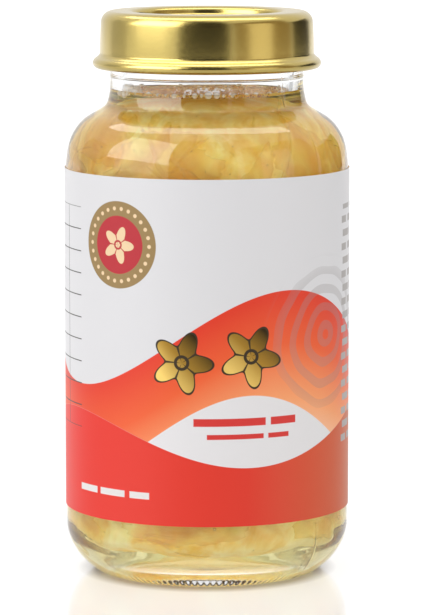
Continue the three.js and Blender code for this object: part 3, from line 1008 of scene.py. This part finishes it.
def hillLayers(tree, across, up):
    # everything below a sine, fading from red to peach downwards from its edge
    hill = artwork["hill"]
    wave = add(tree, "Math", {0: wavePhase(tree, across, hill)}, operation="SINE")
    crest = add(tree, "Math", {0: wave, 1: hill["rise"], 2: hill["middle"]}, operation="MULTIPLY_ADD")
    over = add(tree, "Math", {0: up, 1: crest}, operation="SUBTRACT")
    depth = add(tree, "Math", {0: over, 1: -hill["fade"]}, operation="DIVIDE")
    ramp = add(tree, "ValToRGB", {"Fac": depth})
    setStops(ramp, hill["colours"])
    return [(add(tree, "MapRange", {"Value": over, **sharp}), ramp)]


def swirlLayers(tree, place):
    # rings with a wander, printed thinly inside a soft disc
    swirl = artwork["swirl"]
    fromMiddle = add(tree, "VectorMath", {0: place, 1: swirl["at"]}, operation="SUBTRACT")
    rings = add(tree, "TexWave", {
        "Vector": fromMiddle, "Scale": turn / 20 / swirl["spacing"], "Distortion": 2.2, "Detail": 1.0,
        "Detail Scale": 0.35 * swirl["spacing"],
    }, out="Fac", wave_type="RINGS", rings_direction="SPHERICAL")
    line = add(tree, "MapRange", {"Value": rings, "From Min": 0.52, "From Max": 0.6, "To Max": 0.3})
    away = add(tree, "VectorMath", {0: fromMiddle}, out="Value", operation="LENGTH")
    disc = add(tree, "MapRange", {
        "Value": away, "From Min": swirl["radius"], "From Max": swirl["radius"] - swirl["soft"]})
    ink = add(tree, "Math", {0: line, 1: disc}, operation="MULTIPLY")
    return [(ink, linear(swirl["colour"]))]


def shoreLayers(tree, across, up):
    # a pale mist whose depth swells and ends, over a red shore
    mist, shore = artwork["mist"], artwork["shore"]
    swell = add(tree, "Math", {0: wavePhase(tree, across, mist)}, operation="COSINE")
    line = add(tree, "Math", {0: swell, 1: -mist["rise"], 2: mist["low"]}, operation="MULTIPLY_ADD")
    overShore = add(tree, "Math", {0: up, 1: line}, operation="SUBTRACT")
    swelling = add(tree, "Math", {0: swell, 1: 0.0}, operation="MAXIMUM")
    band = add(tree, "Math", {0: swelling, 1: mist["depth"]}, operation="MULTIPLY")
    overMist = add(tree, "Math", {0: overShore, 1: band}, operation="SUBTRACT")
    way = add(tree, "MapRange", {"Value": across, "From Min": shore["left"], "From Max": shore["right"]})
    ramp = add(tree, "ValToRGB", {"Fac": way})
    setStops(ramp, shore["colours"])
    return [(add(tree, "MapRange", {"Value": overMist, **sharp}), linear(mist["colour"])),
            (add(tree, "MapRange", {"Value": overShore, **sharp}), ramp)]


def insideBox(tree, place, at, half):
    # ink inside a box: the larger of the distances past its sides is below zero
    fold = add(tree, "VectorMath", {0: place, 1: at}, operation="SUBTRACT")
    fold = add(tree, "VectorMath", {0: fold}, operation="ABSOLUTE")
    fold = add(tree, "VectorMath", {0: fold, 1: half}, operation="SUBTRACT")
    sides = add(tree, "SeparateXYZ", {"Vector": fold}).node.outputs
    past = add(tree, "Math", {0: sides["X"], 1: sides["Y"]}, operation="MAXIMUM")
    return add(tree, "MapRange", {"Value": past, **sharp})


def barLayers(tree, place):
    # plain bars, ruled grids and rows of short bars, where a pack would have words
    layers = [(insideBox(tree, place, at, half), linear(colour)) for at, half, colour in artwork["bars"]]
    for kind in ("grids", "rows"):
        for at, half, (width, height, gap, offset), colour in artwork[kind]:
            corner = add(tree, "VectorMath", {0: place, 1: at}, operation="SUBTRACT")
            corner = add(tree, "VectorMath", {0: corner, 1: half}, operation="ADD")
            line = add(tree, "TexBrick", {
                "Vector": corner, "Scale": 1.0, "Mortar Size": gap / 2, "Mortar Smooth": 0.1,
                "Brick Width": width, "Row Height": height}, out="Fac", offset=offset)
            if kind == "rows":
                line = add(tree, "Math", {0: 1.0, 1: line}, operation="SUBTRACT")
            inside = insideBox(tree, place, at, half)
            ink = add(tree, "Math", {0: inside, 1: line}, operation="MULTIPLY")
            layers.append((ink, linear(colour)))
    return layers


def polar(tree, place, at):
    # distance and bearing from a point, and the two sides
    offset = add(tree, "VectorMath", {0: place, 1: at}, operation="SUBTRACT")
    away = add(tree, "VectorMath", {0: offset}, out="Value", operation="LENGTH")
    sides = add(tree, "SeparateXYZ", {"Vector": offset}).node.outputs
    bearing = add(tree, "Math", {0: sides["Y"], 1: sides["X"]}, operation="ARCTAN2")
    return away, bearing, sides


def blossomInk(tree, away, bearing, size, lean):
    # five petals: the outline's radius swings with the cosine of five times the bearing. A
    # ring round the heart and a line between the petals stay bare. Also how far past the
    # outline a point is
    petals = add(tree, "Math", {0: bearing, 1: 5.0, 2: lean}, operation="MULTIPLY_ADD")
    petals = add(tree, "Math", {0: petals}, operation="COSINE")
    outline = add(tree, "Math", {0: petals, 1: 0.24 * size, 2: 0.74 * size}, operation="MULTIPLY_ADD")
    beyond = add(tree, "Math", {0: away, 1: outline}, operation="SUBTRACT")
    heart = add(tree, "Math", {0: away, 1: 0.2 * size}, operation="SUBTRACT")
    heart = add(tree, "Math", {0: heart}, operation="ABSOLUTE")
    heart = add(tree, "Math", {0: heart, 1: -1.0, 2: 0.05 * size}, operation="MULTIPLY_ADD")
    rib = add(tree, "Math", {0: petals, 1: -1.0, 2: -0.93}, operation="MULTIPLY_ADD")
    shape = add(tree, "Math", {0: beyond, 1: heart}, operation="MAXIMUM")
    shape = add(tree, "Math", {0: shape, 1: rib}, operation="MAXIMUM")
    return add(tree, "MapRange", {"Value": shape, **sharp}), beyond


def sealLayers(tree, place):
    # a gold rim with a ring of cream beads, round a red field with a cream blossom
    seal = artwork["seal"]
    away, bearing, sides = polar(tree, place, seal["at"])
    middle = (seal["rim"] + seal["field"]) / 2
    fromBead = add(tree, "Math", {0: bearing, 1: math.pi / seal["beads"]}, operation="PINGPONG")
    along = add(tree, "Math", {0: fromBead, 1: middle}, operation="MULTIPLY")
    off = add(tree, "Math", {0: away, 1: middle}, operation="SUBTRACT")
    toBead = add(tree, "CombineXYZ", {"X": along, "Y": off})
    toBead = add(tree, "VectorMath", {0: toBead}, out="Value", operation="LENGTH")
    layers = []
    for distance, radius, colour in (
            (away, "rim", "gold"), (away, "field", "red"), (toBead, "bead", "cream")):
        past = add(tree, "Math", {0: distance, 1: seal[radius]}, operation="SUBTRACT")
        layers.append((add(tree, "MapRange", {"Value": past, **sharp}), linear(seal[colour])))
    ink, beyond = blossomInk(tree, away, bearing, seal["blossom"], seal["lean"])
    return layers + [(ink, linear(seal["cream"]))]


def foilLayers(tree, place):
    # each gold blossom: its dark edge, and then the foil, coloured light to dark across the blossom as a
    # painted sheen
    layers = []
    for at, size, lean in artwork["blossoms"]:
        away, bearing, sides = polar(tree, place, at)
        ink, beyond = blossomInk(tree, away, bearing, size, lean)
        edge = add(tree, "MapRange", {"Value": beyond, "From Min": 0.45, "From Max": 0.35})
        # painted sheen: light at the blossom's lower left, dark at its upper right
        paintedSheen = add(tree, "Math", {0: sides["X"], 1: sides["Y"]}, operation="ADD")
        paintedSheen = add(tree, "MapRange", {"Value": paintedSheen, "From Min": -6.0, "From Max": 7.0})
        ramp = add(tree, "ValToRGB", {"Fac": paintedSheen})
        setStops(ramp, artwork["foil"])
        layers += [(edge, linear(artwork["foilEdge"])), (ink, ramp)]
    return layers


def printLabel(tree):
    # all layers on the paper's own colour, and what share of it is foil
    place = add(tree, "UVMap", {}, uv_map="printMm")
    sides = add(tree, "SeparateXYZ", {"Vector": place}).node.outputs
    across, up = sides["X"], sides["Y"]
    layers = hillLayers(tree, across, up) + swirlLayers(tree, place) + shoreLayers(tree, across, up)
    layers += barLayers(tree, place) + sealLayers(tree, place)
    foilOnes = foilLayers(tree, place)
    paint = linear(artwork["paper"])
    for ink, colour in layers + foilOnes:
        paint = add(tree, "Mix", {"Factor": ink, "A": paint, "B": colour}, out="Result", data_type="RGBA")
    foil = 0.0
    for ink, colour in foilOnes[1::2]:
        foil = add(tree, "Math", {0: foil, 1: ink}, operation="MAXIMUM")
    return paint, foil


coatedPaper, tree, shader = newMaterial("printed coated paper", {
    # offset print on coated paper: a satin ground, and hot-stamped foil that is brighter
    "Roughness": 0.42, "Specular IOR Level": 0.35,
})
paint, foil = printLabel(tree)
tree.links.new(paint, shader.inputs["Base Color"])
shine = add(tree, "MapRange", {"Value": foil, "To Max": 0.65})
tree.links.new(shine, shader.inputs["Metallic"])
satin = add(tree, "MapRange", {"Value": foil, "To Min": 0.42, "To Max": 0.3})
tree.links.new(satin, shader.inputs["Roughness"])

# the glued side: a dull cream
paperBack = newMaterial("uncoated paper back", {"Base Color": linear("#f6f0e2"), "Roughness": 0.8})[0]
labelStrip = makeLabel(coatedPaper, paperBack)
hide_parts("label")
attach(labelStrip, "jar")
